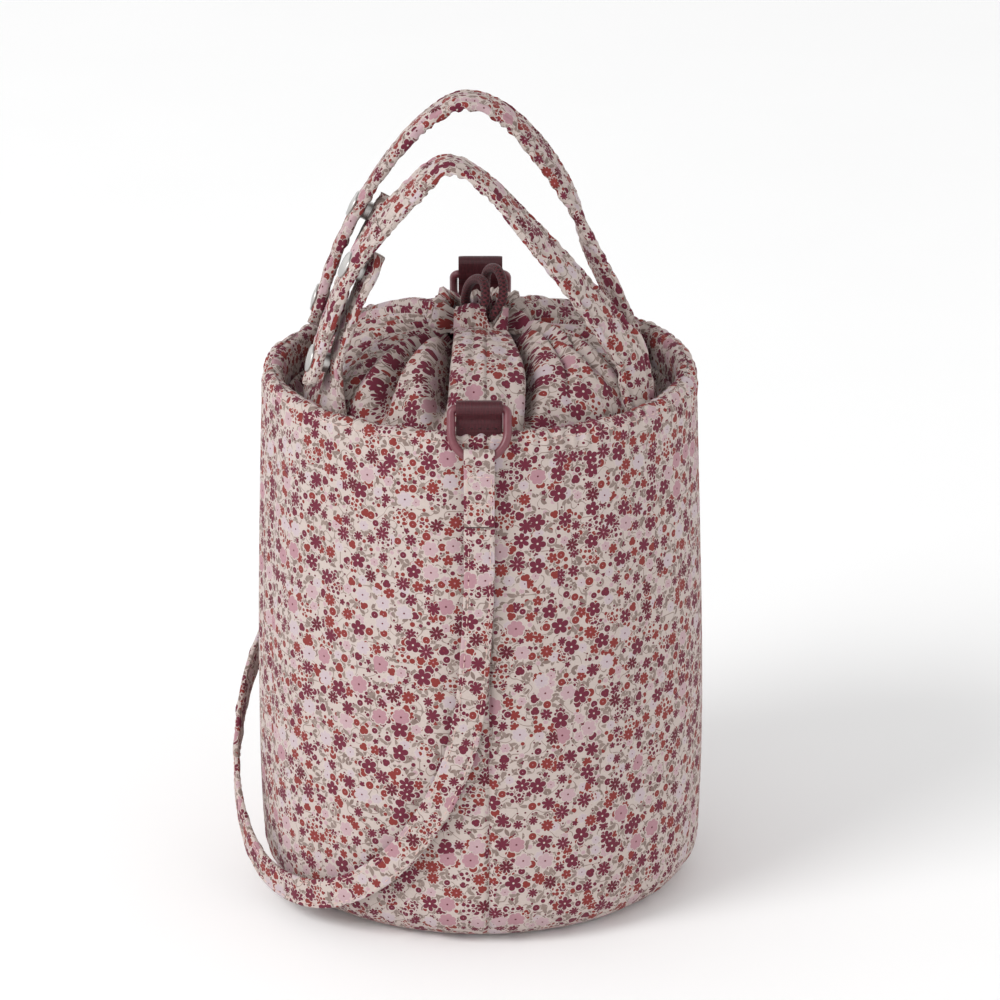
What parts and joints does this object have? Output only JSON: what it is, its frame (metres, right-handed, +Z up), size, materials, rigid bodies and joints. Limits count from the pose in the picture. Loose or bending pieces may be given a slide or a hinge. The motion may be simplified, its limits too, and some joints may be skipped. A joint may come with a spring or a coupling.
{
  "type": "knitting bag",
  "caption": "Padded round drawstring knitting bag with a gathered collar, snap-up carry handles, D-rings on webbing tabs and a long shoulder strap.",
  "frame": {"origin": "middle of the flat underside of the base", "axes": "+Z up; -Y towards the front, where the drawcord comes out of the collar; -X towards the side where the handles snap shut"},
  "size_m": [0.2539, 0.2538, 0.4204],
  "materials": {
    "print_fabric": "matte small floral print",
    "wadding": "matte",
    "webbing": "satin, finely ribbed",
    "cord": "braided, slight sheen",
    "ring_metal": "satin coating",
    "snap_metal": "satin"
  },
  "bodies": {
    "bag": {"outer_wall": "print_fabric", "wall_padding": "wadding", "lining_wall": "print_fabric", "base_panel": "print_fabric", "base_padding": "wadding", "base_lining": "print_fabric", "collar": "print_fabric", "collar_casing": "print_fabric", "drawcord_run": "cord", "drawcord_loop": "cord", "drawcord_knot": "cord", "front_ring_tab": "webbing", "rear_ring_tab": "webbing", "front_handle_foot": "print_fabric", "front_snap_tab_foot": "print_fabric", "rear_handle_foot": "print_fabric", "rear_snap_tab_foot": "print_fabric", "carry_strap_front": "print_fabric", "carry_strap_rear": "print_fabric"},
    "front_ring": {"front_d_ring": "ring_metal", "front_strap_loop": "print_fabric"},
    "front_handle": {"front_handle_outer": "print_fabric", "front_handle_padding": "wadding", "front_handle_inner": "print_fabric"},
    "front_handle_end": {"front_handle_end": "print_fabric", "front_snap_caps": "snap_metal", "front_snap_sockets": "snap_metal"},
    "front_snap_tab": {"front_snap_tab": "print_fabric", "front_snap_studs": "snap_metal", "front_snap_backs": "snap_metal"},
    "rear_ring": {"rear_d_ring": "ring_metal", "rear_strap_loop": "print_fabric"},
    "rear_handle": {"rear_handle_outer": "print_fabric", "rear_handle_padding": "wadding", "rear_handle_inner": "print_fabric"},
    "rear_handle_end": {"rear_handle_end": "print_fabric", "rear_snap_caps": "snap_metal", "rear_snap_sockets": "snap_metal"},
    "rear_snap_tab": {"rear_snap_tab": "print_fabric", "rear_snap_studs": "snap_metal", "rear_snap_backs": "snap_metal"}
  },
  "joints": [
    {"name": "front_ring_swing", "type": "hinge", "parent": "bag", "child": "front_ring", "pos_m": [0, -0.11008, 0.301], "axis": [-1, 0, 0], "range_deg": [0, 75]},
    {"name": "front_handle_lean", "type": "hinge", "parent": "bag", "child": "front_handle", "pos_m": [-0.086, -0.05, 0.305], "axis": [0.9994, 0.0359, 0], "range_deg": [-14, 75]},
    {"name": "front_handle_unsnap", "type": "hinge", "parent": "front_handle", "child": "front_handle_end", "pos_m": [-0.05314, -0.05392, 0.38425], "axis": [-0.1493, 0.9744, 0.1684], "range_deg": [0, 60]},
    {"name": "front_snap_tab_lean", "type": "hinge", "parent": "bag", "child": "front_snap_tab", "pos_m": [-0.086, -0.05, 0.305], "axis": [0.9994, 0.0359, 0], "range_deg": [-14, 75]},
    {"name": "rear_ring_swing", "type": "hinge", "parent": "bag", "child": "rear_ring", "pos_m": [0, 0.11008, 0.301], "axis": [1, 0, 0], "range_deg": [0, 75]},
    {"name": "rear_handle_lean", "type": "hinge", "parent": "bag", "child": "rear_handle", "pos_m": [-0.086, 0.05, 0.305], "axis": [-0.9993, 0.019, -0.0316], "range_deg": [-14, 75]},
    {"name": "rear_handle_unsnap", "type": "hinge", "parent": "rear_handle", "child": "rear_handle_end", "pos_m": [-0.05117, 0.05331, 0.38561], "axis": [0.0021, 0.9988, -0.0487], "range_deg": [0, 60]},
    {"name": "rear_snap_tab_lean", "type": "hinge", "parent": "bag", "child": "rear_snap_tab", "pos_m": [-0.086, 0.05, 0.305], "axis": [-0.9993, 0.019, -0.0316], "range_deg": [-14, 75]}
  ],
  "couplings": [
    {"joint": "front_snap_tab_lean", "follows": "front_handle_lean", "ratio": 1},
    {"joint": "rear_snap_tab_lean", "follows": "rear_handle_lean", "ratio": 1}
  ]
}
